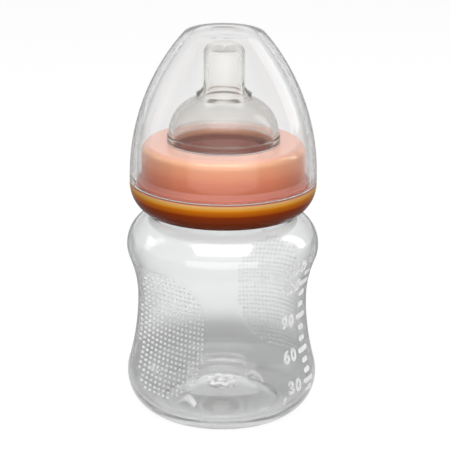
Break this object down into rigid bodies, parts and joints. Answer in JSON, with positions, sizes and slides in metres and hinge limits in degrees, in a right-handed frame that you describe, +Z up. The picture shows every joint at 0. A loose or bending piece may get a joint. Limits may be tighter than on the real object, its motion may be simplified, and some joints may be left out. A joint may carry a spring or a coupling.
{
  "type": "baby bottle",
  "caption": "Wide-neck baby bottle with a waisted clear body, oval grip pads, silicone teat, orange screw collar and clear domed cap that lifts off.",
  "frame": {"origin": "centre of the standing ring, on the surface that the bottle stands on", "axes": "+Z up the bottle's axis, -Y out of the measuring scale, +X and -X out of the two grip pads"},
  "size_m": [0.0666, 0.066, 0.134],
  "materials": {
    "clear_bottle": "clear gloss",
    "silicone": "clear silicone",
    "orange_collar": "gloss",
    "clear_cap": "clear gloss"
  },
  "bodies": {
    "bottle_body": {"bottle": "clear_bottle"},
    "teat_body": {"teat": "silicone"},
    "collar_body": {"screw_collar": "orange_collar"},
    "cap_body": {"dome_cap": "clear_cap"}
  },
  "joints": [
    {"name": "collar_rise", "type": "slide", "parent": "bottle_body", "child": "teat_body", "axis": [0, 0, 1], "range_m": [0, 0.0063]},
    {"name": "collar_turn", "type": "hinge", "parent": "teat_body", "child": "collar_body", "pos_m": [0, 0, 0.0936], "axis": [0, 0, 1], "range_deg": [0, 450]},
    {"name": "cap_lift", "type": "slide", "parent": "collar_body", "child": "cap_body", "axis": [0, 0, 1], "range_m": [0, 0.06]}
  ],
  "couplings": [
    {"joint": "collar_rise", "follows": "collar_turn", "m_per_rad": 0.00079577}
  ]
}
